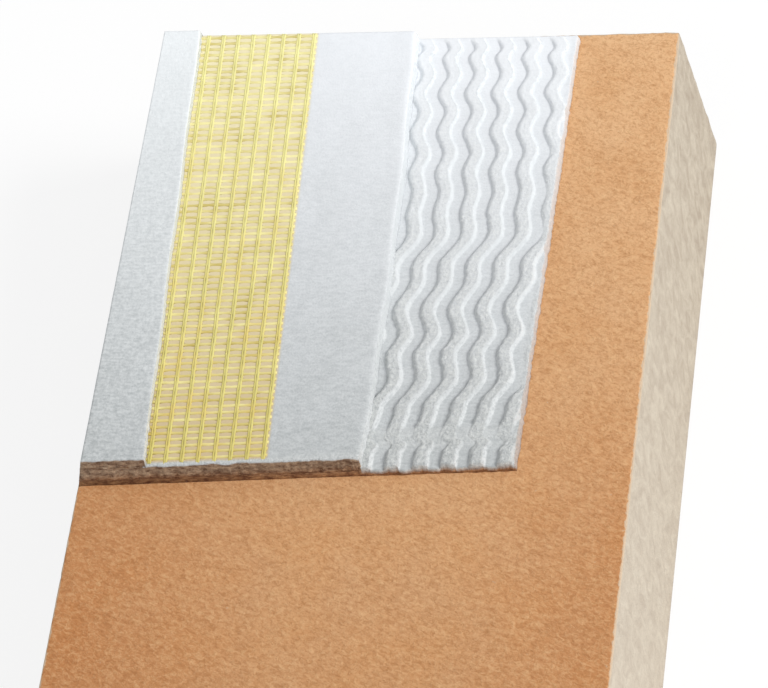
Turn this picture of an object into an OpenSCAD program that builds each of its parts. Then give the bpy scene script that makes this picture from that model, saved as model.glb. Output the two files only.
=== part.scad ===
// Wood fibre insulation board carrying a stepped render: combed base coat, levelled base coat,
// glass-fibre reinforcing mesh and finish coat. The board lies on its back, +Z out of its face,
// X across its width, Y along its length; the origin is the middle of its underside.

/* [Board] */
// Width of the board
board_w = 400; // [332:1:800]
// Length of the board
board_l = 600; // [420:1:1400]
// Thickness of the board
board_t = 160; // [40:1:240]

/* [Coats] */
// Length of board that the coats cover, from the far end, along the left side
coat_run = 365; // [200:1:400]
// How much further from the near end the coats stop on the right of the board, per 100 mm of width
near_skew = 5.6; // [0:0.1:8]
// Bare margin between the coats and the board's left side
side_gap = 1; // [1:0.5:12]
// Bare margin between the coats and the board's far end, along the left side
end_gap = 1; // [0.5:0.5:10]
// How much wider that margin grows towards the right, per 100 mm of width
far_skew = 1; // [0:0.1:4]
// Lean of the coats' near and left edges, in degrees off upright
edge_lean = 20; // [0:1:25]
// Thickness of the base coat on the floor of the comb's grooves
film_t = 5; // [2:0.5:10]
// Thickness of the levelled coat over that film
level_t = 11; // [3:0.5:20]
// Thickness of the finish coat over the mesh
finish_t = 7.5; // [1:0.5:10]

/* [Strips] */
// Right edge of the finish coat at the far end, from the board's left side
finish_edge_far = 36.5; // [30:0.5:50]
// Right edge of the finish coat at its near end
finish_edge_near = 54.5; // [40:0.5:66]
// Right edge of the levelled coat at the far end
level_edge_far = 205.5; // [180:0.5:215]
// Right edge of the levelled coat at its near end
level_edge_near = 212; // [190:1:222]
// How far that edge bows to the right halfway along
level_bow = 3.3; // [0:0.1:6]
// Right edge of the combed coat at the far end
comb_edge_far = 325; // [290:1:332]
// Right edge of the combed coat at its near end
comb_edge_near = 318; // [285:1:332]

/* [Comb] */
// Spacing of the trowel's notches
notch_pitch = 20; // [12:1:30]
// Width of a ridge at its foot
ridge_w = 10.5; // [6:0.5:11]
// Width of a ridge's flat top
ridge_top = 7; // [3:0.5:7]
// Height of a ridge over the groove floor
ridge_h = 4; // [1:0.5:8]
// First ridge's foot, from the board's left side
comb_start = 206; // [196:1:212]

/* [Mesh] */
// How far the mesh reaches under the finish coat at the far end, at least
mesh_tuck = 5; // [2:0.5:12]
// Spacing of the strands along the board
warp_pitch = 12; // [8:0.1:16]
// Width of a strand along the board
warp_w = 3; // [1:0.1:4]
// Spacing of the cross strands
weft_pitch = 4.9; // [4:0.1:10]
// Width of a cross strand
weft_w = 2.4; // [0.8:0.1:3]
// Thickness of the mesh
mesh_t = 0.8; // [0.4:0.1:1.2]
// Right side of the mesh's last strand at the far end, from the board's left side
mesh_edge = 128.5; // [120:0.5:132]
// How far the cross strands reach past that last strand
weft_out = 2; // [0:0.5:6]
// Angle between the strands and the board's long sides
mesh_skew = 2.5; // [0:0.1:3]
// How far the mesh stops short of the coats' near edge, at least
mesh_short = 0.5; // [0.5:0.5:30]

/* [Hidden] */

lean = tan(edge_lean);
level_z = film_t + level_t;      // top of the levelled coat over the board's face
finish_z = level_z + finish_t;   // top of the finish coat over the board's face
bed_gap = 0.4;                   // room round the mesh in its bed
sliver = 0.05;                   // least distance between neighbouring points of a section
wall_gap = 0.3;                  // from the levelled coat's side to a ridge that it cuts off

// The trowel's sideways swing: [distance from the far end, offset to the right], at each turn
swing_turns = [[0, -0.4], [10.5, 4], [18.5, 0.5], [34, 6], [50, 1], [67.5, 8], [84, 4], [104, 11],
               [119, 7.5], [138.5, 12], [154, 10], [172, 13], [201, -0.5], [211, 0.5], [237, -9],
               [256.5, -3], [274, -9.5], [293, -6], [317.5, -17.5], [340, -21.5], [346, -16],
               [353, -19], [428, -22]];
// Band where the ridges were smeared down: [middle, half width, share of height left]
smear = [338, 9, 0.3];
// Distances from the far end at which the sections stand: three steps to each swing
turn_steps = 3;
run = coat_run - end_gap;
swing_marks = [for (i = [0:len(swing_turns) - 2]) for (k = [0:turn_steps - 1])
               let (a = swing_turns[i][0], b = swing_turns[i + 1][0]) a + (b - a) * k / turn_steps];
marks = concat([for (d = swing_marks) if (d < run - 2) d], [run]);

function ease(u) = (1 - cos(180 * u)) / 2;
// Sideways offset of the comb at distance d from the far end
function swing(d, i = 0) =
    (i >= len(swing_turns) - 2 || d < swing_turns[i + 1][0])
    ? let (a = swing_turns[i], b = swing_turns[i + 1])
      a[1] + (b[1] - a[1]) * ease((d - a[0]) / (b[0] - a[0]))
    : swing(d, i + 1);
// Height of the ridges at distance d, lower where they were smeared
function ridge_at(d) =
    let (u = min(1, abs(d - smear[0]) / smear[1])) ridge_h * (smear[2] + (1 - smear[2]) * ease(u));

// Right edges of the coats at distance d, each with a slight wander of the hand
function finish_edge(d) = finish_edge_far + (finish_edge_near - finish_edge_far) * d / run
                          + 0.5 * sin(3.1 * d);
function level_edge(d) = level_edge_far + (level_edge_near - level_edge_far) * d / run
                         + level_bow * sin(180 * d / run) + 0.6 * sin(3.7 * d);
function comb_edge(d) = comb_edge_far + (comb_edge_near - comb_edge_far) * d / run
                        + 0.7 * sin(2.3 * d + 40);

// A point of a coat: x from the board's left side, d from the far end, z over the board's face.
// The near edge leans back with height, and both ends run at a slight angle across the board.
function far_in(x) = far_skew * x / 100;
function reach(x, z) = run - lean * z - near_skew * x / 100;
function spot(x, d, z) =
    [x - board_w / 2, board_l / 2 - end_gap - far_in(x) - d / run * (reach(x, z) - far_in(x)),
     board_t + z];

// A solid through rings of equally many points, closed at its first and last ring by flat ends.
// "ends" lists the pieces that an end is made of, each by its points' numbers in the ring.
module swept(rings, ends) {
    n = len(rings[0]);
    last = (len(rings) - 1) * n;
    points = [for (ring = rings) for (p = ring) p];
    walls = [for (j = [0:len(rings) - 2]) for (i = [0:n - 1])
             let (a = j * n + i, b = j * n + (i + 1) % n)
             for (f = [[a, b, b + n], [a, b + n, a + n]]) f];
    caps = [for (e = ends) each [[for (i = [len(e) - 1:-1:0]) e[i]], [for (i = e) last + i]]];
    polyhedron(points, concat(walls, caps));
}

// Section of one ridge: foot, shoulder, shoulder, foot
function ridge(x, h) =
    let (flank = (ridge_w - ridge_top) / 2)
    [[x, film_t], [x + flank, film_t + h], [x + flank + ridge_top, film_t + h], [x + ridge_w, film_t]];

module insulation_board() {
    color("#d6a06c") translate([-board_w / 2, -board_l / 2, 0]) cube([board_w, board_l, board_t]);
}

module combed_base_coat() {
    count = ceil((comb_edge_far - comb_start) / notch_pitch) + 1;
    // An end's pieces: a fan over the film from foot to foot, then each ridge on top of it
    feet = concat([1, 2], [for (k = [0:count - 1]) each [4 * k + 3, 4 * k + 6]],
                  [4 * count + 3, 4 * count + 4]);
    ends = concat([for (i = [1:len(feet) - 1]) [0, feet[i - 1], feet[i]]],
                  [for (k = [0:count - 1]) [for (i = [3:6]) 4 * k + i]]);
    color("#dfe4e6") swept([for (d = marks)
        let (left = level_edge(d), right = comb_edge(d),
             top = [for (k = [0:count - 1])
                    let (x = comb_start + k * notch_pitch + swing(d),
                         seen = x + ridge_w > left + wall_gap && x < right)
                    each ridge(x, seen ? ridge_at(d) : sliver)],
             n = len(top),
             held = [for (i = [0:n - 1])
                     [max(left + wall_gap + sliver * i, min(right - sliver * (n - i), top[i][0])),
                      top[i][1]]])
        concat([spot(side_gap, d, 0), spot(side_gap + lean * film_t, d, film_t), spot(left, d, film_t)],
               [for (p = held) spot(p[0], d, p[1])],
               [spot(right, d, film_t), spot(right + lean * film_t, d, 0)])], ends);
}

// The mesh's strands along the board reach from its right edge to under the finish coat
warp_count = ceil((mesh_edge - warp_w - finish_edge_far + mesh_tuck) / warp_pitch) + 1;
mesh_w = (warp_count - 1) * warp_pitch + warp_w;
// Left side of the mesh's bed, and its width
bed_left = mesh_edge - mesh_w - bed_gap;
bed_w = mesh_w + weft_out + 2 * bed_gap;
// Far end of the mesh's right side, over the coats' own, and the room for it along that side
mesh_far_in = far_in(mesh_edge + weft_out);
mesh_room = reach(mesh_edge + weft_out + run * tan(mesh_skew), level_z) - mesh_far_in - mesh_short;

module levelled_base_coat() {
    floor_z = level_z - mesh_t;
    color("#d2d7d9") swept([for (d = marks)
        let (bed = bed_left + d / run * reach(mesh_edge, level_z) * tan(mesh_skew))
        [spot(side_gap + lean * film_t, d, film_t), spot(side_gap + lean * level_z, d, level_z),
         spot(bed, d, level_z), spot(bed, d, floor_z),
         spot(bed + bed_w, d, floor_z), spot(bed + bed_w, d, level_z),
         spot(level_edge(d), d, level_z), spot(level_edge(d), d, film_t)]],
        [[0, 1, 2], [0, 2, 3], [0, 3, 4], [0, 4, 7], [4, 5, 6], [4, 6, 7]]);
}

module finish_coat() {
    color("#dde1e4") swept([for (d = marks)
        [spot(side_gap + lean * level_z, d, level_z), spot(side_gap + lean * finish_z, d, finish_z),
         spot(finish_edge(d), d, finish_z), spot(finish_edge(d), d, level_z)]], [[0, 1, 2, 3]]);
}

// The mesh in three lengths, numbered 0 to 2 from the far end
weft_count = floor(mesh_room / weft_pitch);
module mesh_length(part) {
    first = floor(weft_count * part / 3);
    count = floor(weft_count * (part + 1) / 3) - first;
    color("#e8d860")
    translate([mesh_edge - board_w / 2, board_l / 2 - end_gap - mesh_far_in, board_t + level_z - mesh_t])
    rotate([0, 0, mesh_skew])
    translate([-mesh_w, -(first + count) * weft_pitch, 0])
    linear_extrude(mesh_t) difference() {
        square([mesh_w + weft_out, count * weft_pitch]);
        for (i = [0:warp_count - 2], j = [0:count - 1])
            translate([i * warp_pitch + warp_w, j * weft_pitch])
                square([warp_pitch - warp_w, weft_pitch - weft_w]);
        for (j = [0:count - 1])
            translate([mesh_w, j * weft_pitch]) square([weft_out + 1, weft_pitch - weft_w]);
    }
}
module mesh_far() { mesh_length(0); }
module mesh_middle() { mesh_length(1); }
module mesh_near() { mesh_length(2); }

insulation_board();
combed_base_coat();
levelled_base_coat();
mesh_far();
mesh_middle();
mesh_near();
finish_coat();
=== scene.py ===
# %% [markdown]
# # Wood fibre insulation board with stepped render coats
# On a wall, a block of pressed wood fibre is glued up as insulation and rendered over. This piece
# shows the order of work in strips: the bare board, a combed base coat, a levelled base coat, a
# glass-fibre mesh laid in it, and a fine finish coat over the mesh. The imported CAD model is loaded
# first, as the fixed frame that every piece here has to fit.

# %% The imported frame
import math

import bmesh
import bpy
from mathutils import Matrix, Vector, noise


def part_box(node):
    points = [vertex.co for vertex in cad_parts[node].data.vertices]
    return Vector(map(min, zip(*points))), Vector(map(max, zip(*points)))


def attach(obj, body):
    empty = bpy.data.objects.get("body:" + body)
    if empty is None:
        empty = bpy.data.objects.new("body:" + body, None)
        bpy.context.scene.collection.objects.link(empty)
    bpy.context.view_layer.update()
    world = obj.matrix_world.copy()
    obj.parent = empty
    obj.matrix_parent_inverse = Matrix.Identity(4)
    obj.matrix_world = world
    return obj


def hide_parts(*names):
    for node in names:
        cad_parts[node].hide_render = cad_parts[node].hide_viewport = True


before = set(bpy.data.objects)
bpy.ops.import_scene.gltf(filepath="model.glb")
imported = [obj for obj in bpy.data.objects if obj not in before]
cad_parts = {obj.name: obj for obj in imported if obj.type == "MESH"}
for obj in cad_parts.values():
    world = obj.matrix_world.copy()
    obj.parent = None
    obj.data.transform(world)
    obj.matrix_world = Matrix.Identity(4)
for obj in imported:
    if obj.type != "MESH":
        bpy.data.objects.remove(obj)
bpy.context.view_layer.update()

# %% [markdown]
# ## Sizes
# Blender works in metres, but a plasterer and a saw work in millimetres. Everything here is worked
# out in millimetres and turned to metres at the very end. Heights are read from the frame, so they
# follow it. The layout of the strips can't be read from a box, so it repeats the part's own values.

# %% Sizes of the board and its coats
MM = 0.001


def in_mm(node):
    """The low and high corner of a CAD node's box."""
    low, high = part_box(node)
    return Vector(low) / MM, Vector(high) / MM


board_low, board_high = in_mm("insulation_board")
board_w, board_l, board_t = board_high - board_low
film_z = in_mm("levelled_base_coat")[0].z - board_t      # groove floor of the comb
ridge_h = in_mm("combed_base_coat")[1].z - board_t - film_z
level_z = in_mm("levelled_base_coat")[1].z - board_t     # top of the levelled coat
finish_z = in_mm("finish_coat")[1].z - board_t           # top of the finish coat

coat_run, end_gap, side_gap = 365, 1, 1
near_skew, far_skew = 5.6, 1                             # per 100 mm of width
lean = math.tan(math.radians(20))                        # of the near and left edges
run = coat_run - end_gap
print("board", [round(size, 1) for size in (board_w, board_l, board_t)], "mm; heights over it",
      [round(height, 1) for height in (film_z, film_z + ridge_h, level_z, finish_z)])

# %% [markdown]
# ## A ruler for the coats
# The coats were trowelled by hand, so their near edge runs at a slight angle and leans back. One
# function places a point by how far it is from the board's left side, from its far end and from its
# face. Its inverse reads those three numbers back, which lets a rim be roughened after it is made.

# %% Placing a point of a coat
def reach(x, z):
    """How far the near edge lies from the board's far end, x across and z up."""
    return run - lean * z - near_skew * x / 100


def far_in(x):
    """How far the coats' far end has drawn in, x across."""
    return far_skew * x / 100


def spot(x, d, z):
    """The point x from the left side, d from the far end and z over the face, in metres."""
    y = board_l / 2 - end_gap - far_in(x) - d / run * (reach(x, z) - far_in(x))
    return Vector((x - board_w / 2, y, board_t + z)) * MM


def spot_back(co):
    """x, d and z of a point, in millimetres."""
    x, z = co.x / MM + board_w / 2, co.z / MM - board_t
    away = board_l / 2 - end_gap - far_in(x) - co.y / MM
    return x, away * run / (reach(x, z) - far_in(x)), z


def rough(x, d, size, seed=0.0):
    """Smooth noise from -1 to 1 whose lumps are about `size` millimetres across."""
    return noise.noise(Vector((x / size, d / size, seed)))


def clamp(value):
    return min(1.0, max(0.0, value))


print("near edge", round(reach(0, 0), 1), "mm from the far end on the left,",
      round(reach(board_w, 0), 1), "mm on the right")

# %% [markdown]
# ## The comb
# A notched trowel leaves ridges one notch pitch apart. The hand swings sideways as it pulls, so all
# ridges share one wavy path. The turns of that swing are the same short list as in the part's
# source, and each stretch between two turns is eased like a swing of the wrist. A Bezier curve
# could hold the path too, but a function can be asked for the swing at any distance.

# %% The trowel's swing and the strips' edges
swing_turns = [[0, -0.4], [10.5, 4], [18.5, 0.5], [34, 6], [50, 1], [67.5, 8], [84, 4], [104, 11],
               [119, 7.5], [138.5, 12], [154, 10], [172, 13], [201, -0.5], [211, 0.5], [237, -9],
               [256.5, -3], [274, -9.5], [293, -6], [317.5, -17.5], [340, -21.5], [346, -16],
               [353, -19], [428, -22]]
notch_pitch, comb_start = 20, 206
smear_at, smear_half = 338, 9


def ease(u):
    return (1 - math.cos(math.pi * u)) / 2


def swing(d):
    """How far the trowel has swung to the right at distance d."""
    for (d0, x0), (d1, x1) in zip(swing_turns, swing_turns[1:]):
        if d < d1:
            return x0 + (x1 - x0) * ease((d - d0) / (d1 - d0))
    return x1


def finish_edge(d):
    return 36.5 + 18 * d / run + 0.5 * math.sin(math.radians(3.1 * d))


def level_edge(d):
    return (205.5 + 6.5 * d / run + 3.3 * math.sin(math.pi * d / run)
            + 0.6 * math.sin(math.radians(3.7 * d)))


def comb_edge(d):
    return 325 - 7 * d / run + 0.7 * math.sin(math.radians(2.3 * d + 40))


for name, border in (("finish", finish_edge), ("levelled", level_edge), ("combed", comb_edge)):
    print(name, "coat ends", round(border(0), 1), "mm across at the far end,",
          round(border(run), 1), "mm at the near end")

# %% [markdown]
# ## One way to make every coat
# Each coat is a sheet of mortar with a worked top and rough sides. A cube with displacement would
# bulge at its corners, so the top is one grid, moved point by point onto the coat's surface. Its rim
# is then pulled down to the layer below in a few extrusions, and each ring of the rim is roughened,
# as mortar tears where the trowel leaves it. Float attributes carry what the material needs to know:
# "torn" for the dark brown near edge, "coarse" for crumbly mortar, "side" for lit walls and ridge
# flanks that get a painted tone, and "bed" for the mortar under the mesh. "u" and "v" keep each
# point's place on the grid.

# %% Coat-making helpers
def coat_top(columns, rows, surface):
    """A grid whose share across, u, and along, v, both 0 to 1, say where each point goes."""
    bm = bmesh.new()
    marks = [bm.verts.layers.float.new(name) for name in ("u", "v", "torn", "coarse", "bed", "side")]
    bmesh.ops.create_grid(bm, x_segments=columns, y_segments=rows, size=0.5)
    for vert in bm.verts:
        vert[marks[0]], vert[marks[1]] = vert.co.x + 0.5, 0.5 - vert.co.y
        vert.co = spot(*surface(vert.co.x + 0.5, 0.5 - vert.co.y))
    return bm


def ragged_end(x, d, amount, size, seed, zone=12):
    """Lets the last `zone` millimetres before the near edge run a little long or short."""
    return d + amount * rough(x, 0, size, seed) * max(0.0, (d - run + zone) / zone)


print("a near end wanders", [round(ragged_end(x, run, 1.2, 7, 35) - run, 2) for x in (50, 150, 250)],
      "mm at three places across")

# %% [markdown]
# ## Sides that tear
# Extruding an edge loop makes a wall. Each step goes a share of the way down, and the points of that
# ring wander by a noise of their own. The near side tears most. The last ring lies on the layer
# below, and one face closes the underside.

# %% Pulling the rim down
def pull_down(bm, base_z, steps, tear, right_slope=0.0, seed=0.0):
    """Extrudes the rim down to base_z, a share of the way per step. The near side tears."""
    u_mark, v_mark, torn, coarse, side = [bm.verts.layers.float[name]
                                          for name in ("u", "v", "torn", "coarse", "side")]
    rim = [edge for edge in bm.edges if edge.is_boundary]
    done = 0.0
    for share in steps:
        made = bmesh.ops.extrude_edge_only(bm, edges=rim)["geom"]
        rim = [part for part in made if isinstance(part, bmesh.types.BMEdge)]
        for vert in {v for edge in rim for v in edge.verts}:
            x, d, z = spot_back(vert.co)
            drop = (z - base_z) * (share - done) / (1 - done)
            last = share == 1
            if vert[u_mark] < 1e-4:
                x -= lean * drop - (0 if last else 0.3 * rough(d, z, 3, seed))
            elif vert[u_mark] > 1 - 1e-4:
                x += right_slope * drop + 0.3 * rough(d, z * 2, 4, seed + 3)
                # this wall gets the mortar's painted side tone
                vert[side] = 1.0
            if vert[v_mark] > 1 - 1e-4:
                d += tear * (rough(x, z * 1.7, 4, seed + 5) + 0.6 * rough(x, z * 2, 1.8, seed + 7))
                if last:
                    d = run + 0.8 * rough(x, 0, 9, seed + 9)
                vert[torn] = vert[coarse] = 1.0
            if vert[v_mark] < 1e-4:
                d = max(0.0, d)
            vert.co = spot(x, d, z - drop)
        done = share
    bmesh.ops.holes_fill(bm, edges=rim, sides=0)
    bmesh.ops.recalc_face_normals(bm, faces=bm.faces)
    return bm


print("the left side leans", round(lean * finish_z, 2), "mm over the full height of the coats")

# %% [markdown]
# ## From mesh to piece
# Blender shows a bmesh only once it is written to a mesh and the mesh hangs on an object. The object
# stays at the origin, unturned, so that patterns in Object coordinates keep their real size. The CAD
# nodes that the piece stands for are hidden.

# %% Making a piece
def as_piece(bm, name, material, *nodes, slot):
    """Makes the mesh an object that stands for the CAD nodes it replaces."""
    mesh = bpy.data.meshes.new(name)
    bm.to_mesh(mesh)
    bm.free()
    mesh.shade_smooth()
    piece = bpy.data.objects.new(name, mesh)
    bpy.context.scene.collection.objects.link(piece)
    mesh.materials.append(material)
    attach(piece, "root")
    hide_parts(*nodes)
    mesh.calc_loop_triangles()
    print(name, len(mesh.loop_triangles), "triangles")
    return piece


# %% [markdown]
# ## Making materials
# Colours are written as sRGB hex values, the way a colour picker shows them, and turned to the
# linear values that the shader wants. One small function adds a node with its settings and links,
# so that each material reads as a list of what happens to the surface.

# %% Material helpers
def linear(hex_colour):
    parts = [int(hex_colour[i:i + 2], 16) / 255 for i in (1, 3, 5)]
    return (*[c / 12.92 if c <= 0.04045 else ((c + 0.055) / 1.055) ** 2.4 for c in parts], 1.0)


def add(tree, kind, settings=None, **inputs):
    """Adds a node, such as "Math" for ShaderNodeMath. Each input is a value, an output to link, or a
    node to link by its first output. `in6` is the socket of that index, `_` a space in a name."""
    node = tree.nodes.new("ShaderNode" + kind)
    for name, value in (settings or {}).items():
        setattr(node, name, value)
    for name, value in inputs.items():
        key = int(name[2:]) if name.startswith("in") and name[2:].isdigit() else name.replace("_", " ")
        socket = node.inputs[key]
        if isinstance(value, bpy.types.Node):
            value = value.outputs[0]
        if isinstance(value, bpy.types.NodeSocket):
            tree.links.new(value, socket)
        else:
            socket.default_value = value
    return node


def new_material(name):
    material = bpy.data.materials.new(name)
    material.use_nodes = True
    tree = material.node_tree
    tree.nodes.clear()
    output = add(tree, "OutputMaterial")
    surface = add(tree, "BsdfPrincipled")
    tree.links.new(surface.outputs["BSDF"], output.inputs["Surface"])
    return material, tree, surface


# %% [markdown]
# ## Fibres
# The board is softwood, pulped to fibres and pressed. A fibre is a thin, bent line. Hair curves
# could draw each one, but a face holds millions, so they are drawn as the contour of a noise: the
# places where the noise passes one half form wiggly lines, and a second noise breaks them into short
# pieces. Real fibres are finer than a render can show, so these are drawn a few times coarser.

# %% Fibre lines
def short_fibres(tree, place, bend, thin, seed):
    """Wiggly short fibres that bend every `bend` millimetres; 1 on a fibre and 0 beside it."""
    moved = add(tree, "Mapping", Vector=place, Location=(seed, seed, seed),
                Scale=(0.75 / (bend * MM), 1 / (bend * MM), 1 / (bend * MM)))
    wander = add(tree, "TexNoise", Vector=moved, Scale=1.0, Detail=2.0, Roughness=0.55, Distortion=0.5)
    off = add(tree, "Math", {"operation": "SUBTRACT"}, in0=wander, in1=0.5)
    away = add(tree, "Math", {"operation": "ABSOLUTE"}, in0=off)
    line = add(tree, "MapRange", Value=away, From_Min=thin, From_Max=0.0)
    broken = add(tree, "TexNoise", Vector=moved, Scale=1.7, Detail=1.0)
    part = add(tree, "MapRange", Value=broken, From_Min=0.44, From_Max=0.56)
    return add(tree, "Math", {"operation": "MULTIPLY"}, in0=line, in1=part).outputs[0]


def fibre_layer(tree, place, *sorts):
    """Lays several sorts of fibre over each other. Each is its bend, its thinness and a seed."""
    layer = 0.0
    for sort in sorts:
        layer = add(tree, "Math", {"operation": "MAXIMUM"}, in0=layer,
                    in1=short_fibres(tree, place, *sort)).outputs[0]
    return layer


pale_sorts = (4.0, 0.045, 1.0), (6.0, 0.035, 5.0)
dark_sorts = (4.5, 0.05, 9.0), (3.2, 0.05, 13.0)
print("fibres bend every", [sort[0] for sort in pale_sorts + dark_sorts], "mm")

# %% [markdown]
# ## The heat-tanned face
# The face was heated in the press and turned orange-tan. It darkens towards the near end, partly a
# deeper tan and partly a painted fall-off of the light, and again towards the sides near that end,
# with soft clouds where the pulp lay thicker. Over that lie the pressed strokes, which all lean one
# way, and then the single fibres, both darker in the bump's hollows and paler on its raised parts:
# their own tone together with painted shade and painted highlight. Each layer is mixed over the last,
# as paint would be.

# %% Tanned face
def tan_ground(tree, place, axes, along):
    """The slow changes of colour over the face."""
    cloud = add(tree, "TexNoise", Vector=place, Scale=1 / (40 * MM), Detail=4.0)
    # darker towards the near end: partly a deeper tan, partly painted fall-off of the light
    tanned = add(tree, "Mix", {"data_type": "RGBA"}, Factor=along,
                 in6=linear("#be8b60"), in7=linear("#e2b588"))
    scorched = add(tree, "MapRange", Value=cloud, From_Min=0.35, From_Max=0.7, To_Max=0.35)
    clouded = add(tree, "Mix", {"data_type": "RGBA"}, Factor=scorched,
                  in6=tanned.outputs[2], in7=linear("#c98e58"))
    # darker towards the sides near the near end
    off_middle = add(tree, "Math", {"operation": "SUBTRACT"}, in0=axes.outputs["X"], in1=25 * MM)
    sideways = add(tree, "Math", {"operation": "ABSOLUTE"}, in0=off_middle)
    to_side = add(tree, "MapRange", Value=sideways, From_Min=60 * MM,
                  From_Max=board_w / 2 * MM, To_Max=0.6)
    nearness = add(tree, "MapRange", Value=axes.outputs["Y"], From_Min=40 * MM, From_Max=-100 * MM)
    deeper = add(tree, "Math", {"operation": "MULTIPLY"}, in0=to_side, in1=nearness)
    return add(tree, "Mix", {"data_type": "RGBA", "blend_type": "MULTIPLY"},
               Factor=deeper, in6=clouded.outputs[2], in7=linear("#eacdaf")).outputs[2]


def tanned_face(tree, place, axes, stroke, pale, dark):
    """The ground colour with dark and pale strokes, then dark and pale fibres, darker in the bump's
    hollows and paler on its raised parts as painted shade and painted highlight.
    """
    along = add(tree, "MapRange", Value=axes.outputs["Y"], From_Min=-board_l / 2 * MM,
                From_Max=board_l / 2 * MM).outputs["Result"]
    # painted shade and painted highlight: strokes darker where the bump is low and paler where it is
    # high, along with their own tone
    dark_stroke = add(tree, "MapRange", Value=stroke, From_Min=0.5, From_Max=0.3, To_Max=0.5)
    shaded = add(tree, "Mix", {"data_type": "RGBA", "blend_type": "MULTIPLY"},
                 Factor=dark_stroke, in6=tan_ground(tree, place, axes, along),
                 in7=linear("#cfbfab"))
    contrast = add(tree, "MapRange", Value=along, To_Min=0.4, To_Max=0.55)
    pale_stroke = add(tree, "MapRange", Value=stroke, From_Min=0.5, From_Max=0.76, To_Max=contrast)
    stroked = add(tree, "Mix", {"data_type": "RGBA"}, Factor=pale_stroke,
                  in6=shaded.outputs[2], in7=linear("#e6bd8d"))
    # dark fibres lie in the bump's hollows and pale fibres on its raised parts: painted shade and
    # painted highlight along with the fibres' own tone
    dark_part = add(tree, "Math", {"operation": "MULTIPLY"}, in0=dark, in1=0.42)
    with_dark = add(tree, "Mix", {"data_type": "RGBA"}, Factor=dark_part,
                    in6=stroked.outputs[2], in7=linear("#a97646"))
    pale_part = add(tree, "Math", {"operation": "MULTIPLY"}, in0=pale, in1=0.15)
    return add(tree, "Mix", {"data_type": "RGBA"}, Factor=pale_part,
               in6=with_dark.outputs[2], in7=linear("#f0cd9f")).outputs[2]


print("the tan, linear:", [round(part, 2) for part in linear("#be8b60")[:3]])

# %% [markdown]
# ## The sawn sides
# Heat never reached the inside, so a sawn side is pale oatmeal, and paler towards the near end, which
# is painted light. The saw laid it open across the fibres, which shows as short upright streaks with
# small holes, drawn as dark spots of painted shade. A colour ramp turns one stretched noise into the
# two tones of the streaks.

# %% Sawn sides
def sawn_side(tree, place, axes, holes):
    sawn = add(tree, "Mapping", {"vector_type": "TEXTURE"}, Vector=place,
               Scale=(9 * MM, 10 * MM, 18 * MM))
    streak = add(tree, "TexNoise", Vector=sawn, Scale=1.0, Detail=4.0, Roughness=0.55, Distortion=0.8)
    side = add(tree, "ValToRGB", Fac=streak)
    dull, light = side.color_ramp.elements
    dull.position, dull.color = 0.3, linear("#a39686")
    light.position, light.color = 0.72, linear("#bfb5a4")
    # painted light: the side is paler towards the near end
    painted_near_light = add(tree, "MapRange", Value=axes.outputs["Y"], From_Min=board_l / 2 * MM,
                   From_Max=-board_l / 2 * MM, To_Max=0.4)
    tone = add(tree, "Mix", {"data_type": "RGBA"}, Factor=painted_near_light,
               in6=side.outputs["Color"], in7=linear("#d3c8b9"))
    # painted shade: small holes drawn as dark spots
    hole = add(tree, "MapRange", Value=holes, From_Max=1.0, To_Max=0.25)
    return add(tree, "Mix", {"data_type": "RGBA"}, Factor=hole,
               in6=tone.outputs[2], in7=linear("#968b7c")).outputs[2]


print("the oatmeal, linear:", [round(part, 2) for part in linear("#bfb5a4")[:3]])

# %% [markdown]
# ## Colour of the arrises
# Where two sawn or pressed faces meet, the skin broke away and shows the cream inside. Just under
# the face's edge the side gets a peach band, which is painted highlight of the arris along with the
# broken skin. The border between face and side follows the height of a point, and the wear follows
# how near it is to the board's outline. One noise of 6 mm frays both, so no border is a ruled line.

# %% Arrises
def with_arrises(tree, place, axes, face, side):
    """Joins the face's and the sides' colours at a frayed border, pale where the skin broke, with a band
    of painted highlight along the arris on the side.
    """
    fray = add(tree, "TexNoise", Vector=place, Scale=1 / (6 * MM), Detail=4.0, Roughness=0.6)
    loose = add(tree, "Math", {"operation": "MULTIPLY_ADD"}, in0=fray, in1=4.4 * MM, in2=-2.2 * MM)
    depth = add(tree, "Math", {"operation": "ADD"}, in0=axes.outputs["Z"], in1=loose)
    skin = add(tree, "MapRange", Value=depth,
               From_Min=(board_t - 1.6) * MM, From_Max=(board_t - 1.2) * MM)
    arris = add(tree, "MapRange", Value=depth,
                From_Min=(board_t - 4.0) * MM, From_Max=(board_t - 2.0) * MM)
    paler_by = 0.0
    for axis, half in (("X", board_w / 2), ("Y", board_l / 2)):
        out_from_middle = add(tree, "Math", {"operation": "ABSOLUTE"}, in0=axes.outputs[axis])
        frayed = add(tree, "Math", {"operation": "ADD"}, in0=out_from_middle, in1=loose)
        to_edge = add(tree, "MapRange", Value=frayed,
                      From_Min=(half - 1.6) * MM, From_Max=(half - 0.8) * MM)
        paler_by = add(tree, "Math", {"operation": "MAXIMUM"}, in0=paler_by, in1=to_edge).outputs[0]
    # painted highlight of the arris together with broken skin: a peach band just under the face's edge
    side_with_arris_highlight = add(tree, "Mix", {"data_type": "RGBA"}, Factor=arris, in6=side, in7=linear("#bfae99"))
    face_worn = add(tree, "Mix", {"data_type": "RGBA"}, Factor=paler_by, in6=face, in7=linear("#c7b096"))
    return add(tree, "Mix", {"data_type": "RGBA"}, Factor=skin,
               in6=side_with_arris_highlight.outputs[2], in7=face_worn.outputs[2]).outputs[2]


print("the skin ends", round(board_t - 1.4, 1), "mm up, give or take 2.2 mm")

# %% [markdown]
# ## Pressed wood fibre
# Softboard is dull and matt: light sinks in between the fibres, so the roughness is high and the
# specular level low. The strokes and fibres also lift the surface a little, through one bump.

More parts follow.
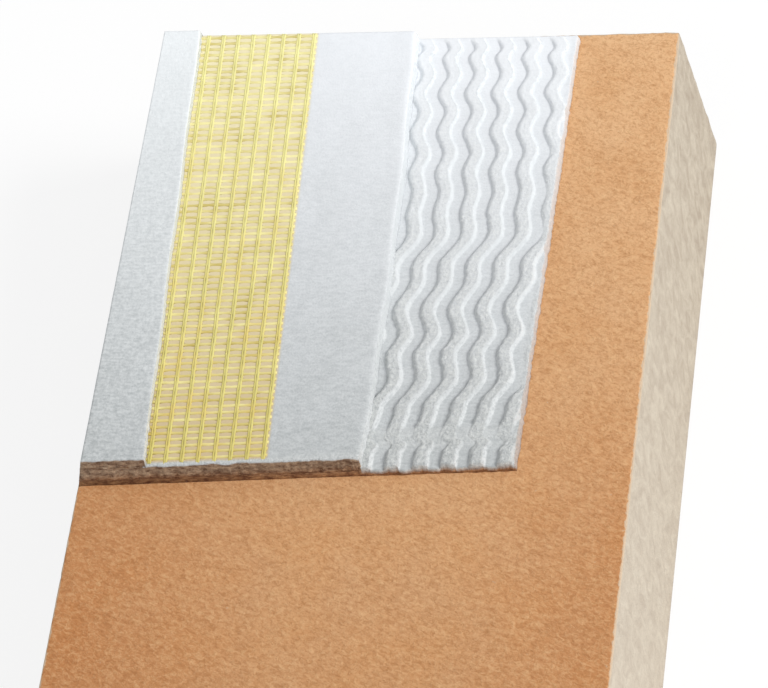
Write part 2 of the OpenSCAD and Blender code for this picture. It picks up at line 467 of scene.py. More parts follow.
# %% Wood fibre material
def wood_fibre():
    material, tree, surface = new_material("pressed wood fibre, heat-tanned face and sawn sides")
    place = add(tree, "TexCoord").outputs["Object"]
    axes = add(tree, "SeparateXYZ", Vector=place)
    pale = fibre_layer(tree, place, *pale_sorts)
    dark = fibre_layer(tree, place, *dark_sorts)
    laid = add(tree, "Mapping", {"vector_type": "TEXTURE"}, Vector=place,
               Rotation=(0, 0, math.radians(-22)), Scale=(4.6 * MM, 2.3 * MM, 2.3 * MM))
    stroke = add(tree, "TexNoise", Vector=laid, Scale=1.0, Detail=3.0,
                 Roughness=0.55, Distortion=0.7).outputs["Fac"]
    face = tanned_face(tree, place, axes, stroke, pale, dark)
    side = sawn_side(tree, place, axes, pale)
    tree.links.new(with_arrises(tree, place, axes, face, side), surface.inputs["Base Color"])

    fine = add(tree, "TexNoise", Vector=place, Scale=1 / (2 * MM), Detail=3.0)
    raised = add(tree, "Math", {"operation": "SUBTRACT"}, in0=pale, in1=dark)
    relief = add(tree, "Math", {"operation": "MULTIPLY_ADD"}, in0=raised, in1=0.3, in2=fine)
    ribbed = add(tree, "Math", {"operation": "MULTIPLY_ADD"}, in0=stroke, in1=0.9, in2=relief)
    bump = add(tree, "Bump", Height=ribbed, Strength=0.6, Distance=0.5 * MM)
    tree.links.new(bump.outputs["Normal"], surface.inputs["Normal"])
    surface.inputs["Roughness"].default_value = 0.9
    surface.inputs["Specular IOR Level"].default_value = 0.2
    return material


fibre_material = wood_fibre()
print(fibre_material.name, "has", len(fibre_material.node_tree.nodes), "nodes")

# %% [markdown]
# ## Wear of the arrises
# The real board is sawn square from a larger sheet, so its arrises are sharp but frayed: fibres
# break out along the saw cut. A bevel would round them evenly. Here a point near an arris is drawn
# inwards by a noise along it, with a deeper chip here and there, and the first few cells of the grid
# are only 1 mm wide, so that there are points to draw.

# %% Wear of the board
board_size = (board_w, board_l, board_t)
board_cells = (132, 198, 26)
edge_cells, edge_cell = 4, 1.0                           # how many, and their width


def spread(share, count, length):
    """Moves evenly spread cuts so that the first and last few cells are edge_cell wide."""
    index = (share + 0.5) * count
    plain = (length - 2 * edge_cells * edge_cell) / (count - 2 * edge_cells)
    if index < edge_cells:
        return index * edge_cell
    if index > count - edge_cells:
        return length - (count - index) * edge_cell
    return edge_cells * edge_cell + (index - edge_cells) * plain


def wear_at(flat):
    """How far a point of the board is drawn inwards, in millimetres."""
    inset = [min(flat[i], board_size[i] - flat[i]) for i in range(3)]
    wear = Vector((0, 0, 0))
    for a, b, along in ((0, 2, 1), (1, 2, 0), (0, 1, 2)):
        if inset[a] > 5 or inset[b] > 5 or (b == 2 and flat.z < 5):
            continue
        ragged = 0.55 + 0.5 * noise.noise(Vector((flat[along] / 7, a * 9 + flat[a] / 90, b)))
        chip = max(0.0, noise.noise(Vector((flat[along] / 4, a * 5 + flat[a] / 90, b + 4))) - 0.35) * 3
        pull = (ragged + chip) * math.exp(-max(inset[a], inset[b]) / 1.4)
        for axis in (a, b):
            if inset[axis] < 1e-6:
                wear[axis] += pull if flat[axis] < board_size[axis] / 2 else -pull
    return wear


print("wear at the near left upper corner:",
      [round(part, 2) for part in wear_at(Vector((0, 0, board_t)))], "mm")

# %% [markdown]
# ## The insulation board
# A cube is cut into a fine grid, axis by axis, and worn. Its face gets the slight unevenness of
# pressed pulp. The underside stays flat, because the block lies on it, and is dissolved to one face.

# %% Board mesh
def board_mesh():
    bm = bmesh.new()
    bmesh.ops.create_cube(bm, size=1.0)
    for axis, count in enumerate(board_cells):
        along = [e for e in bm.edges if abs((e.verts[0].co - e.verts[1].co)[axis]) > 0.9]
        bmesh.ops.subdivide_edges(bm, edges=along, cuts=count - 1, use_grid_fill=True)
    for vert in bm.verts:
        flat = Vector([spread(vert.co[i], board_cells[i], board_size[i]) for i in range(3)])
        wear = wear_at(flat)
        if flat.z > board_t - 1e-6:
            wear.z -= 0.22 + 0.14 * rough(flat.x, flat.y, 16) + 0.09 * rough(flat.x, flat.y, 5, 2.0)
        vert.co = (flat + wear + board_low) * MM
    underside = [f for f in bm.faces if f.calc_center_median().z < 1e-6]
    bmesh.ops.dissolve_faces(bm, faces=underside)
    bmesh.ops.recalc_face_normals(bm, faces=bm.faces)
    return bm


as_piece(board_mesh(), "wood_fibre_board", fibre_material, "insulation_board", slot="wood_fibre")

# %% [markdown]
# ## Trowelled mortar
# Base coat and finish coat are cement and lime with fine sand. Dry, they are a cool, pale grey that
# hardly shines. The colour darkens from the far end to the near end, which is a painted fall-off of
# the light. The sand gives a grain and the trowel leaves faint drag marks, both stronger towards the
# near end.

# %% Trowelled surface
def trowelled(tree, place, towards_far_end, painted_falloff_and_clouds, far_tone, painted_near_shade, sand, grain_tone):
    """The colour of a worked top: darker towards the near end as painted fall-off of the light, and
    darker in its grain and drag marks.
    """
    plain = add(tree, "Mix", {"data_type": "RGBA"}, Factor=painted_falloff_and_clouds, in6=linear(painted_near_shade), in7=linear(far_tone))
    dragged = add(tree, "Mapping", Vector=place, Scale=(1 / (6 * MM), 1 / (2 * MM), 1 / (3 * MM)))
    drag = add(tree, "TexNoise", Vector=dragged, Scale=1.0, Detail=2.0)
    both = add(tree, "Math", {"operation": "MULTIPLY_ADD"}, in0=drag, in1=0.8, in2=sand)
    mark = add(tree, "MapRange", Value=both, From_Min=1.1, From_Max=0.6)
    shows = add(tree, "MapRange", Value=towards_far_end, To_Min=grain_tone, To_Max=grain_tone * 0.12)
    marking = add(tree, "Math", {"operation": "MULTIPLY"}, in0=mark, in1=shows)
    return add(tree, "Mix", {"data_type": "RGBA", "blend_type": "MULTIPLY"},
               Factor=marking, in6=plain.outputs[2], in7=linear("#a0a6a8")).outputs[2]


print("drag marks are 6 mm long and 2 mm wide")

# %% [markdown]
# ## Torn edge
# The near edge tore when the coat's end was broken off. It is coloured dark brown, redder low down,
# and streaked along the edge. Its crumbs are two tones of one stretched noise.

# %% Torn edge
def torn_edge(tree, place, axes):
    torn_way = add(tree, "Mapping", Vector=place, Scale=(1 / (7 * MM), 1 / (2.6 * MM), 1 / (2.6 * MM)))
    hole = add(tree, "TexNoise", Vector=torn_way, Scale=1.0, Detail=4.0, Roughness=0.7)
    crumb = add(tree, "MapRange", Value=hole, From_Min=0.36, From_Max=0.66)
    broken = add(tree, "Mix", {"data_type": "RGBA"}, Factor=crumb,
                 in6=linear("#6d523f"), in7=linear("#c1a78c"))
    low_edge_tone = add(tree, "Mix", {"data_type": "RGBA"}, Factor=crumb,
                in6=linear("#70442a"), in7=linear("#c69264"))
    rise = add(tree, "MapRange", Value=axes.outputs["Z"], From_Min=(board_t + 2) * MM,
               From_Max=(board_t + 10) * MM)
    return add(tree, "Mix", {"data_type": "RGBA"}, Factor=rise,
               in6=low_edge_tone.outputs[2], in7=broken.outputs[2]).outputs[2]


print("the edge turns from red to grey-brown 2 to 10 mm over the face")

# %% [markdown]
# ## Mortar
# Both coats use one recipe. Four attributes say where a point is: crumbly crests get pale specks,
# partly painted highlight; lit side walls and ridge flanks get a painted tone, darker than the top at
# the far end and lighter near the end; the bed under the mesh is a warm beige; and the torn edge
# covers all. Both grain and crumbs lift the surface through one bump.

# %% Mortar material
def mortar(name, far_tone, painted_near_shade, far_side_paint, near_side_paint, grain, grain_tone, grain_bump):
    """Tones are sRGB hex: the top's far tone, its near tone with painted shade, and the painted tones of
    lit sides far and near; `grain` is the sand's size in mm.
    """
    material, tree, surface = new_material(name)
    place = add(tree, "TexCoord").outputs["Object"]
    axes = add(tree, "SeparateXYZ", Vector=place)
    torn, coarse, side, bed = [add(tree, "Attribute", {"attribute_name": mark}).outputs["Fac"]
                               for mark in ("torn", "coarse", "side", "bed")]
    cloud = add(tree, "TexNoise", Vector=place, Scale=1 / (30 * MM), Detail=3.0)
    # painted fall-off of the light: 0 at the near end and 1 at the far end, with soft clouds, sets how
    # dark the mortar is painted
    towards_far_end = add(tree, "MapRange", Value=axes.outputs["Y"],
                 From_Min=(board_l / 2 - coat_run) * MM, From_Max=board_l / 2 * MM).outputs["Result"]
    falloff_and_cloud_sum = add(tree, "Math", {"operation": "MULTIPLY_ADD"}, in0=cloud, in1=0.24, in2=towards_far_end)
    painted_falloff_and_clouds = add(tree, "MapRange", Value=falloff_and_cloud_sum, From_Min=0.12, From_Max=1.12).outputs["Result"]
    sand = add(tree, "TexNoise", Vector=place, Scale=1 / (grain * MM), Detail=3.0,
               Roughness=0.65).outputs["Fac"]
    lumps = add(tree, "TexNoise", Vector=place, Scale=1 / (2.2 * MM), Detail=4.0,
                Roughness=0.75).outputs["Fac"]

    # pale specks on the crumbly crests, stronger near the end: paler grains together with painted
    # highlight
    crisp = add(tree, "MapRange", Value=towards_far_end, To_Min=0.5, To_Max=0.12)
    crest = add(tree, "MapRange", Value=lumps, From_Min=0.35, From_Max=0.65, To_Max=crisp)
    crest_part = add(tree, "Math", {"operation": "MULTIPLY"}, in0=crest, in1=coarse).outputs[0]
    specks_and_highlight = add(tree, "Mix", {"data_type": "RGBA"}, Factor=crest_part,
                in6=trowelled(tree, place, towards_far_end, painted_falloff_and_clouds, far_tone, painted_near_shade, sand, grain_tone),
                in7=linear("#fcfdf8"))
    # painted shade and painted highlight: lit walls and flanks are painted darker than the top at the
    # far end and lighter near the end, mottled by the lumps
    painted_side_tone = add(tree, "Mix", {"data_type": "RGBA"}, Factor=painted_falloff_and_clouds,
                   in6=linear(near_side_paint), in7=linear(far_side_paint))
    crumbly = add(tree, "MapRange", Value=lumps, From_Min=0.42, From_Max=0.54, To_Min=0.15)
    painted_side_share = add(tree, "Math", {"operation": "MULTIPLY"}, in0=side, in1=crumbly)
    with_painted_sides = add(tree, "Mix", {"data_type": "RGBA"}, Factor=painted_side_share,
                     in6=specks_and_highlight.outputs[2], in7=painted_side_tone.outputs[2])
    # the bed under the mesh is a warm beige, darker towards the near end as painted fall-off of the
    # light
    bed_tone = add(tree, "Mix", {"data_type": "RGBA"}, Factor=painted_falloff_and_clouds,
                in6=linear("#c9b48f"), in7=linear("#f1e7c0"))
    with_bed_tone = add(tree, "Mix", {"data_type": "RGBA"}, Factor=bed,
                  in6=with_painted_sides.outputs[2], in7=bed_tone.outputs[2])
    colour = add(tree, "Mix", {"data_type": "RGBA"}, Factor=torn,
                 in6=with_bed_tone.outputs[2], in7=torn_edge(tree, place, axes))
    tree.links.new(colour.outputs[2], surface.inputs["Base Color"])

    relief = add(tree, "MapRange", Value=towards_far_end, To_Min=1.5, To_Max=0.5)
    rugged = add(tree, "Math", {"operation": "MULTIPLY"}, in0=crest_part, in1=relief)
    fine = add(tree, "Math", {"operation": "MULTIPLY"}, in0=sand, in1=grain_bump)
    height = add(tree, "Math", {"operation": "MULTIPLY_ADD"}, in0=rugged, in1=0.8, in2=fine)
    bump = add(tree, "Bump", Height=height, Strength=1.0, Distance=1.0 * MM)
    tree.links.new(bump.outputs["Normal"], surface.inputs["Normal"])
    surface.inputs["Roughness"].default_value = 0.85
    surface.inputs["Specular IOR Level"].default_value = 0.3
    return material


# The near tones are the far tones darkened as painted fall-off of the light; the side tones are painted
# tones for lit walls and flanks.
base_mortar = mortar("base coat mortar, trowelled", far_tone="#eef1f5", painted_near_shade="#bfc2c2", far_side_paint="#dadfe2",
                     near_side_paint="#d1d3d3", grain=1.5, grain_tone=0.45, grain_bump=0.25)
finish_mortar = mortar("finish render, felted fine grain", far_tone="#f0f4f6", painted_near_shade="#c5c8c8",
                       far_side_paint="#c8cdd0", near_side_paint="#dedfdf", grain=1.9, grain_tone=0.6,
                       grain_bump=0.35)
for material in (base_mortar, finish_mortar):
    print(material.name, "has", len(material.node_tree.nodes), "nodes")

# %% [markdown]
# ## The combed base coat
# The ridges are thin and crisp, so the grid's columns run along them: each column keeps its place
# on the comb and swings with the trowel. That makes a sheet with wavy sides, which is cut straight
# along the strip's right border and just under the levelled coat's edge. Between the ridges the
# teeth polished the mortar smooth. A ridge has a soft left shoulder, a rough top that tore off the
# notch, and a steep right flank that faces the light. Near the end the hand stopped and smeared them.

# %% Shape of the comb
steps_per_notch, coat_rows = 32, 330
comb_step = notch_pitch / steps_per_notch
first_x, comb_columns = comb_start - 0.8 - notch_pitch, 9 * steps_per_notch
shoulder, crest, foot = 7, 17, 19                        # in steps from a ridge's left foot


def ridge_shape(x, d):
    """(how high up a ridge, how rough, how much on its lit flank), at a point of the comb."""
    step = ((x - first_x) / comb_step + 1e-6) % steps_per_notch
    border = comb_edge(d) - swing(d) - (x - step * comb_step)
    from_smear = clamp((abs(d - smear_at) - 3) / (smear_half - 3 if d < smear_at else 15))
    ragged = (0.4 + 1.3 * d / run) * (rough(x, d, 3.2, 37) + 0.6 * rough(x, d, 1.4, 38))
    rise = 1 - (1 - clamp((step + ragged) / shoulder)) ** 2.2
    fall = clamp((foot - step + ragged) / (foot - crest))
    smeared = 1 - ease(from_smear)
    starts = clamp(d / 7) * ease(clamp((border - 2) / 8))
    height = min(rise, fall) * starts * (0.54 + 0.36 * d / run)
    height += (0.4 - height) * 0.92 * smeared
    on_top = 1.0 if 1 < step < crest else 0.0
    on_flank = 1.0 if crest - 1 < step < foot + 0.5 else 0.0
    return height, min(1.0, on_top + 0.5 * smeared), on_flank * starts * (1 - smeared)


def combed_surface(u, v):
    along = first_x + u * comb_columns * comb_step
    d = v * run
    x = along + swing(d) + 0.6 * v + 0.3 * rough(along, d, 6, 30) + 0.25 * rough(along, d, 2.5, 31)
    up, coarse, _ = ridge_shape(along, d)
    lumps = (0.2 * rough(x, d, 2.6, 32) + 0.16 * rough(x, d, 1.5, 33)) * (0.7 + 1.2 * d / run)
    berm = 0.3 * math.exp(-((comb_edge(d) - x) / 2.2) ** 2) * (1 + rough(x, d, 5, 36))
    z = ridge_h * up + berm * (1 - up) + coarse * lumps + 0.1 * rough(x, d, 7, 34)
    open_part = clamp((x - level_edge(d) + 1.8) / 0.5)
    return x, ragged_end(x, d, amount=1.2, size=7, seed=35), film_z + open_part * max(-0.3, z)


print("comb step", comb_step, "mm; ridge", foot * comb_step, "mm wide at its foot")

# %% [markdown]
# ## Cutting and closing the comb
# A bisect plane cuts a mesh along a straight line, whatever its faces are, where a Boolean would need
# a second solid. It cuts the right border and the edge under the levelled coat. The film under that
# coat is hidden, so one wide row of faces reaches to the board's left side.

# %% Combed coat mesh
def cut_along(bm, far_x, near_x, keep_left):
    """Cuts the sheet along a straight line on the board and returns the cut edges."""
    far, near = spot(far_x, 0, 0), spot(near_x, run, 0)
    line = near - far
    inner = Vector((line.y, -line.x, 0)) * (1 if keep_left else -1)
    cut = bmesh.ops.bisect_plane(bm, geom=bm.verts[:] + bm.edges[:] + bm.faces[:], dist=1e-7,
                                 plane_co=far, plane_no=inner, clear_inner=True)
    return [part for part in cut["geom_cut"] if isinstance(part, bmesh.types.BMEdge)]


def combed_mesh():
    bm = coat_top(comb_columns, coat_rows, combed_surface)
    u_mark, v_mark, torn, coarse, side = [bm.verts.layers.float[name]
                                          for name in ("u", "v", "torn", "coarse", "side")]
    for vert in bm.verts:
        # side marks the lit flank, which gets the mortar's painted side tone
        _, vert[coarse], vert[side] = ridge_shape(first_x + vert[u_mark] * comb_columns * comb_step,
                                                  vert[v_mark] * run)
    right = cut_along(bm, comb_edge(0) + 0.4, comb_edge(run) + 0.4, True)
    for vert in {v for edge in right for v in edge.verts}:
        vert[u_mark] = 1.0
    under = cut_along(bm, level_edge(0) - 3, level_edge(run) - 3, False)
    made = bmesh.ops.extrude_edge_only(bm, edges=under)["geom"]
    for vert in [part for part in made if isinstance(part, bmesh.types.BMVert)]:
        x, d, z = spot_back(vert.co)
        vert.co = spot(side_gap + lean * film_z, d, film_z)
        vert[u_mark] = 0.0
    for vert in bm.verts:
        x, d, z = spot_back(vert.co)
        to_side = comb_edge(d) - x
        if to_side < 7 and x > level_edge(d):
            wander = 0.9 * rough(0, d, 8, 40) + 0.5 * rough(0, d, 2.5, 41)
            vert.co.x += wander * (1 - ease(clamp(to_side / 7))) * MM
            vert[coarse] = max(vert[coarse], (1 - clamp(to_side / 7)) * d / run)
        if x < level_edge(d):
            vert[coarse] = vert[side] = 0.0
        vert[torn] = 1.0 if d > run - 2 and x < level_edge(run) else 0.0
    pull_down(bm, -0.5, (0.3, 0.7, 1), tear=0.7, right_slope=0.2, seed=50)
    for vert in bm.verts:
        x, d, z = spot_back(vert.co)
        if vert[v_mark] > 1 - 1e-4 and x > level_edge(run):
            vert[torn] *= 1 - ease(clamp((z - 2) / 2))
        elif vert[u_mark] > 1 - 1e-4:
            # painted shade: the right wall takes some of the torn edge's brown, more towards the near
            # end
            vert[torn], vert[coarse] = 0.2 + 0.15 * d / run, 0.3 + 0.7 * d / run
    return bm


as_piece(combed_mesh(), "combed_coat", base_mortar, "combed_base_coat", slot="base_coat")

# %% [markdown]
# ## Where the mesh lies
# The mesh is laid into the levelled coat while that is wet, so its size and slant are needed before
# either is made. Its strands have the part's pitch, and its thickness is read from the frame.

# %% Layout of the mesh
mesh_skew = math.radians(2.5)
mesh_edge, mesh_w, warp_pitch, warp_w, warp_count = 128.5, 99, 12, 3, 9
weft_pitch, weft_count, weft_out = 4.9, 71, 2
mesh_t = in_mm("mesh_far")[1].z - in_mm("mesh_far")[0].z
mesh_run = 360.5                                         # its length on the coats' own ruler


def mesh_shift(d):
    """How far the slanting mesh has moved right at distance d."""
    return d / run * reach(mesh_edge, level_z) * math.tan(mesh_skew)


def in_bed(x, d):
    """How far inside the mesh's bed a point is, in millimetres."""
    right = mesh_edge + weft_out + 0.4 + mesh_shift(d)
    return min(right - x, x - right + mesh_w + weft_out + 0.8, mesh_run + 1 - d)


print("mesh", mesh_w + weft_out, "mm wide; it moves", round(mesh_shift(run), 1), "mm right along it")

# %% [markdown]
# ## The levelled base coat
# A second helping of mortar fills the comb and is drawn off flat. The mesh leaves a shallow bed in
# it, and the mortar beyond its near end rises to a soft lip. Columns stand closer together towards
# the right, where the coat rounds off into its wall.

# %% Levelled coat mesh
def level_surface(u, v):
    d = v * run
    left = side_gap + lean * level_z
    right = level_edge(d) + 0.35 * rough(0, d, 5, 60) + 0.25 * rough(0, d, 2, 61)
    x = right - (right - left) * (1 - u) ** 1.25
    bed = clamp(in_bed(x, d) / 1.2)
    lip = 0.5 * math.exp(-((run - d) / 3) ** 2)
    z = (0.25 * rough(x, d / 3, 22, 62) + 0.1 * rough(x, d, 6, 63)) * (1 - 0.85 * bed) + lip
    z -= bed * (0.2 * mesh_t + 0.04 * rough(x, d, 3, 64)) + 0.9 * math.exp(-(right - x) / 1.3)
    return x, ragged_end(x, d, amount=1.3, size=11, seed=65), level_z - 0.2 + z


def levelled_mesh():
    bm = coat_top(170, 260, level_surface)
    bed, side, coarse, torn = [bm.verts.layers.float[name] for name in ("bed", "side", "coarse", "torn")]
    for vert in bm.verts:
        x, d, _ = spot_back(vert.co)
        vert[bed] = clamp(in_bed(x, d) / 1.5)
        # the near lip gets the painted side tone, a painted highlight lighter than the top
        vert[side] = math.exp(-((run - d) / 2.5) ** 2)
        vert[coarse] = math.exp(-((run - d) / 4) ** 2)
        vert[torn] = 1.0 if d > run - 2 and x < finish_edge(run) else 0.0
    return pull_down(bm, film_z - 0.3, (0.1, 0.3, 0.5, 0.7, 0.85, 1), tear=0.8, right_slope=0.06,
                     seed=70)


as_piece(levelled_mesh(), "levelled_coat", base_mortar, "levelled_base_coat", slot="base_coat")

# %% [markdown]
# ## The finish coat
# A thin layer of finer render, felted with a sponge float. It covers the mesh's left edge. Its own
# right edge was cut along a straightedge, so it is one bright, nearly upright wall, made by the same
# two helpers as the coat below.

# %% Finish coat mesh
def finish_surface(u, v):
    d = v * run
    left = side_gap + lean * finish_z
    right = finish_edge(d) + 0.3 * rough(0, d, 6, 80) + 0.2 * rough(0, d, 2, 81) + 1.6
    x = right - (right - left) * (1 - u) ** 1.4
    z = 0.2 * rough(x, d, 14, 83) + 0.12 * rough(x, d, 3.5, 84) - 0.5 * math.exp(-(right - x) / 0.7)
    return x, ragged_end(x, d, amount=1.1, size=8, seed=82, zone=10), finish_z - 0.35 + z


finish_top = coat_top(44, 300, finish_surface)
finish = pull_down(finish_top, level_z - 0.3, (0.15, 0.35, 0.6, 0.8, 1), tear=0.6,
                   right_slope=-0.08, seed=90)
as_piece(finish, "finish_render", finish_mortar, "finish_coat", slot="finish_coat")

# %% [markdown]
# ## Glass-fibre yarn
# The mesh is woven from glass rovings and dipped in a yellow coating that keeps the alkali of the
# mortar off the glass. The coating is a soft, slightly glossy plastic. Two attributes colour it:
# "cross" is 1 on the strands across the board, and "shade" says how bright a spot of a yarn is, from
# dark ochre to pale yellow; it holds random tone together with painted shade and painted light on the
# yarns. Towards the near end a painted fall-off of the light darkens it.

# %% Yarn material
def coated_yarn():
    material, tree, surface = new_material("glass-fibre yarn, yellow alkali-resistant coating")
    place = add(tree, "TexCoord").outputs["Object"]
    cross = add(tree, "Attribute", {"attribute_name": "cross"})
    shade = add(tree, "Attribute", {"attribute_name": "shade"})
    patch = add(tree, "TexNoise", Vector=place, Scale=1 / (18 * MM), Detail=3.0)
    length = add(tree, "Mix", {"data_type": "RGBA"}, Factor=shade.outputs["Fac"],
                 in6=linear("#e4dd94"), in7=linear("#f7f2ac"))
    cross_tones = add(tree, "Mix", {"data_type": "RGBA"}, Factor=shade.outputs["Fac"],
                in6=linear("#c2ad52"), in7=linear("#fbf3b2"))
    colour = add(tree, "Mix", {"data_type": "RGBA"}, Factor=cross.outputs["Fac"],
                 in6=length.outputs[2], in7=cross_tones.outputs[2])
    axes = add(tree, "SeparateXYZ", Vector=place)
    # painted fall-off of the light: yarns darker towards the near end, cross strands half as much
    near = add(tree, "MapRange", Value=axes.outputs["Y"], From_Min=board_l / 2 * MM,
               From_Max=(board_l / 2 - coat_run) * MM)
    falloff_strength = add(tree, "MapRange", Value=cross.outputs["Fac"], To_Min=1.0, To_Max=0.5)
    painted_falloff_share = add(tree, "Math", {"operation": "MULTIPLY"}, in0=near, in1=falloff_strength)
    painted_near_shade = add(tree, "Mix", {"data_type": "RGBA", "blend_type": "MULTIPLY"},
               Factor=painted_falloff_share, in6=colour.outputs[2], in7=linear("#dad0ab"))
    cleaner = add(tree, "MapRange", Value=patch, From_Min=0.48, From_Max=0.7, To_Max=0.7)
    bare = add(tree, "Math", {"operation": "MULTIPLY"}, in0=cleaner, in1=near)
    tinted = add(tree, "Mix", {"data_type": "RGBA"}, Factor=bare,
                 in6=painted_near_shade.outputs[2], in7=linear("#dcc06c"))
    tree.links.new(tinted.outputs[2], surface.inputs["Base Color"])
    fibre = add(tree, "TexNoise", Vector=place, Scale=1 / (0.8 * MM), Detail=2.0)
    bump = add(tree, "Bump", Height=fibre, Strength=0.3, Distance=0.2 * MM)
    tree.links.new(bump.outputs["Normal"], surface.inputs["Normal"])
    surface.inputs["Roughness"].default_value = 0.5
    return material


yarn_material = coated_yarn()
print("yarn material:", len(yarn_material.node_tree.nodes), "nodes")

# %% [markdown]
# ## The reinforcing mesh
# Along the board the strands are pairs of yarns that lock each flat cross strand between them, a
# leno weave. Each yarn is a narrow grid, rolled into a tube and laid along its path. A curve with a
# round bevel could do it too, but the grid keeps each vertex's place round the yarn, which "turned"
# stores: the near side of a cross strand gets the painted shade.

# %% One yarn
def mesh_spot(a, b, z):
    """a from the mesh's right edge, b from its far end, z over the board's face."""
    d = b * mesh_run / (weft_pitch * weft_count)
    return spot(mesh_edge + mesh_shift(d) - a, d, z)


def yarn(bm, path, steps, width, thick, across, sides=6):
    """Rolls a grid into a tube along path(t), t from 0 to 1; `across` is its sideways direction."""
    made = bmesh.ops.create_grid(bm, x_segments=sides, y_segments=steps, size=0.5)["verts"]
    turned = bm.verts.layers.float["turned"]
    for vert in made:
        angle, t = 2 * math.pi * (vert.co.x + 0.5), 0.5 - vert.co.y
        vert[turned] = math.cos(angle)
        a, b, z = path(t)
        out = math.cos(angle) * width / 2
        a, b = a + out * across[0], b + out * across[1]
        vert.co = mesh_spot(a, b, z + math.sin(angle) * thick / 2)
    return made


print("mesh of", 2 * warp_count, "yarns along the board and", weft_count, "across")

# %% [markdown]
# ## Weaving
# The paths sway a little by noise, the strands along the board sink into the mortar at the far end,
# and their near tips are frayed by different lengths. The yarns stay separate tubes in one piece,
# and their open ends are filled.

# %% Mesh strands
mesh_length = weft_pitch * weft_count
mesh_top = level_z - 0.1                                 # height of the strands' middle


def weave_along(bm, k, side):
    """One yarn of pair k; side is -1 for its right yarn and 1 for its left. The right yarn is painted
    paler and the left darker, as painted light and shade, more so towards the near end.
    """
    shade = bm.verts.layers.float["shade"]
    centre = warp_w / 2 + k * warp_pitch
    frayed = 1.5 * noise.noise(Vector((k * 3.7, side * 2.3, 1)))

    def path(t):
        b = t * (mesh_length + 1.0 + frayed)
        sway = 0.3 * noise.noise(Vector((b / 25, k * 5.1, 3)))
        lock = math.cos(math.pi * b / weft_pitch)
        sunk = 0.15 * (1 - t)
        return centre + side * (0.8 + 0.1 * lock) + sway, b, mesh_top - sunk + 0.05 * side * lock

    width = 1.9 if side < 0 else 1.4
    for vert in yarn(bm, path, steps=175, width=width, thick=0.5, across=(1, 0)):
        nearer = 0.5 - vert.co.y / MM / board_l
        # painted light and shade: the right yarn paler, the left darker, with random tone on top
        paler_by = (0.3 if side < 0 else -0.3) + 0.9 * noise.noise(vert.co / MM / 9)
        vert[shade] = clamp(0.5 + paler_by * (0.45 + nearer))


def weave_across(bm, j):
    """Cross strand j from the far end. Its near side gets painted shade, darker the nearer it lies."""
    cross, shade, turned = [bm.verts.layers.float[name] for name in ("cross", "shade", "turned")]
    tone = 0.75 + 0.4 * noise.noise(Vector((j * 1.7, 4.2, 0)))
    # painted shade: how much darker the near side of this strand is, more towards the near end
    under = 0.1 + 0.8 * (j / weft_count) ** 1.5

    def path(t):
        a = -0.7 * weft_out + t * (mesh_w + 0.7 * weft_out + 0.5)
        sag = 0.3 * noise.noise(Vector((a / 14, j * 2.9, 7)))
        hold = math.cos(2 * math.pi * (a - warp_w / 2) / warp_pitch)
        return a, (j + 0.5) * weft_pitch + sag, mesh_top - 0.3 + 0.06 * hold

    for vert in yarn(bm, path, steps=34, width=2.8, thick=0.35, across=(0, 1)):
        vert[cross] = 1.0
        patchy = 0.5 * noise.noise(vert.co / MM / 9) - under * max(0.0, vert[turned])
        vert[shade] = clamp(tone + patchy)


def mesh_strands():
    bm = bmesh.new()
    for name in ("cross", "shade", "turned"):
        bm.verts.layers.float.new(name)
    for k in range(warp_count):
        weave_along(bm, k, -1)
        weave_along(bm, k, 1)
    for j in range(weft_count):
        weave_across(bm, j)
    bmesh.ops.remove_doubles(bm, verts=bm.verts, dist=1e-6)
    bmesh.ops.holes_fill(bm, edges=[e for e in bm.edges if e.is_boundary], sides=0)
    bmesh.ops.recalc_face_normals(bm, faces=bm.faces)
    return bm


strands = as_piece(mesh_strands(), "reinforcing_mesh", yarn_material, "mesh_far", "mesh_middle",
                   "mesh_near", slot="mesh")

# %% [markdown]
# ## Floor
# The block lies on a plain pale floor. A camera ray that meets it gets mostly a plain white glow, so
# the floor looks white without more light on the block, and the rest of it still shows a faint
# shadow. Rays from gloss or glass count as seen too, as a mirror would show the same white.

# %% Floor
def seen_directly(tree):
    """1 for what the camera sees, straight or by way of gloss or glass, 0 for light on its way."""
    paths = add(tree, "LightPath")
    direct = add(tree, "Math", {"operation": "MAXIMUM"}, in0=paths.outputs["Is Camera Ray"],
                 in1=paths.outputs["Is Glossy Ray"])
    return add(tree, "Math", {"operation": "MAXIMUM"}, in0=direct,
               in1=paths.outputs["Is Transmission Ray"]).outputs[0]


def studio_floor(half_size, white_part):
    bm = bmesh.new()
    bmesh.ops.create_grid(bm, x_segments=1, y_segments=1, size=half_size)
    mesh = bpy.data.meshes.new("floor")
    bm.to_mesh(mesh)
    bm.free()
    floor = bpy.data.objects.new("floor", mesh)
    bpy.context.scene.collection.objects.link(floor)
    material, tree, surface = new_material("pale studio floor")
    surface.inputs["Base Color"].default_value = linear("#fafafa")
    surface.inputs["Roughness"].default_value = 0.9
    glow = add(tree, "Emission", Color=(1, 1, 1, 1), Strength=1.0)
    white = add(tree, "Math", {"operation": "MULTIPLY"}, in0=seen_directly(tree), in1=white_part)
    mixed = add(tree, "MixShader", Fac=white, in1=surface, in2=glow)
    tree.links.new(mixed.outputs[0], tree.nodes["Material Output"].inputs["Surface"])
    mesh.materials.append(material)
    print("floor", 2 * half_size, "m wide")


studio_floor(half_size=12, white_part=0.8)

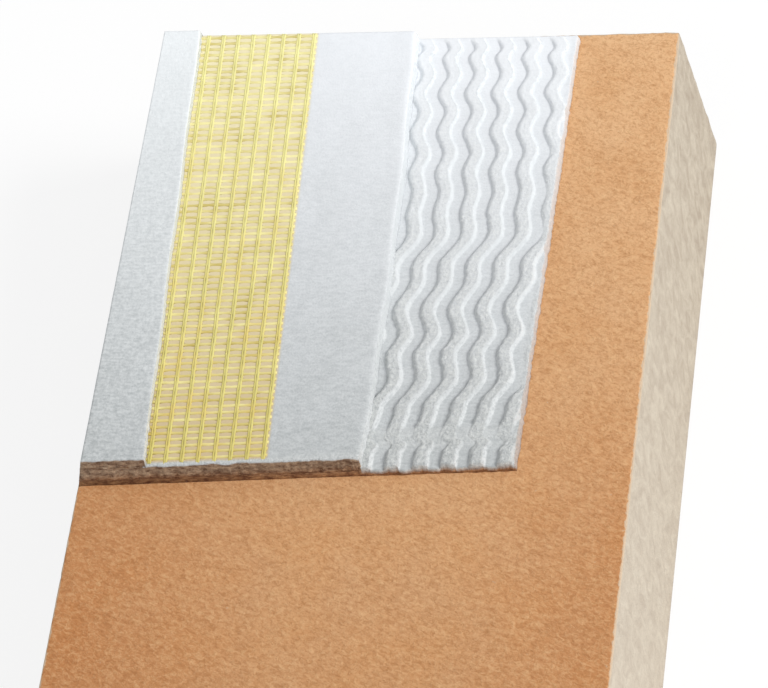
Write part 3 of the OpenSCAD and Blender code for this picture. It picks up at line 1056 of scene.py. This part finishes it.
# %% [markdown]
# ## World and lights
# One large soft lamp to the far right rakes over the comb and gives each ridge its lit flank, and the
# sky keeps the shaded edges open. A small lamp would draw hard shadow lines between the strands.

# %% World and lights
def soft_sky(strength):
    world = bpy.data.worlds.new("soft sky")
    bpy.context.scene.world = world
    world.use_nodes = True
    tree = world.node_tree
    tree.nodes.clear()
    sky = add(tree, "Background", Color=linear("#fcfdff"), Strength=strength)
    backdrop = add(tree, "Background", Color=(1, 1, 1, 1), Strength=1.0)
    mix = add(tree, "MixShader", Fac=seen_directly(tree), in1=sky, in2=backdrop)
    add(tree, "OutputWorld", Surface=mix)
    print("sky strength", strength)


def soft_light(name, place, target, size, power, colour):
    lamp = bpy.data.lights.new(name, "AREA")
    lamp.shape, lamp.size, lamp.energy, lamp.color = "DISK", size, power, linear(colour)[:3]
    obj = bpy.data.objects.new(name, lamp)
    bpy.context.scene.collection.objects.link(obj)
    obj.location = place
    obj.rotation_euler = (Vector(target) - Vector(place)).to_track_quat("-Z", "Y").to_euler()
    print(name, "lamp", round((Vector(target) - Vector(place)).length, 2), "m away")


soft_sky(strength=0.65)
soft_light("key", place=(5.36, 0.4, 4.34), target=(0, 0.1, 0.16), size=2.6, power=330,
           colour="#fffefc")

# %% [markdown]
# ## Camera
# It looks down on the near right corner through a long lens, from two metres away, so the
# block's sides stay nearly parallel. A roll about the line of sight sets how the block lies in the
# picture.

# %% Camera
def aim_camera(place, target, roll, lens):
    data = bpy.data.cameras.new("camera")
    data.lens, data.sensor_width = lens, 36
    camera = bpy.data.objects.new("camera", data)
    bpy.context.scene.collection.objects.link(camera)
    look = (Vector(target) - Vector(place)).to_track_quat("-Z", "Y").to_matrix()
    camera.matrix_world = (Matrix.Translation(Vector(place))
                           @ (look @ Matrix.Rotation(math.radians(roll), 3, "Z")).to_4x4())
    bpy.context.scene.camera = camera
    print("camera", round((Vector(target) - Vector(place)).length, 2), "m away,", lens, "mm lens")


aim_camera(place=(0.615, -0.793, 1.884), target=(0.0121, 0.0482, 0.16), roll=-31.35, lens=133.9)
bpy.context.scene.view_settings.view_transform = "Standard"
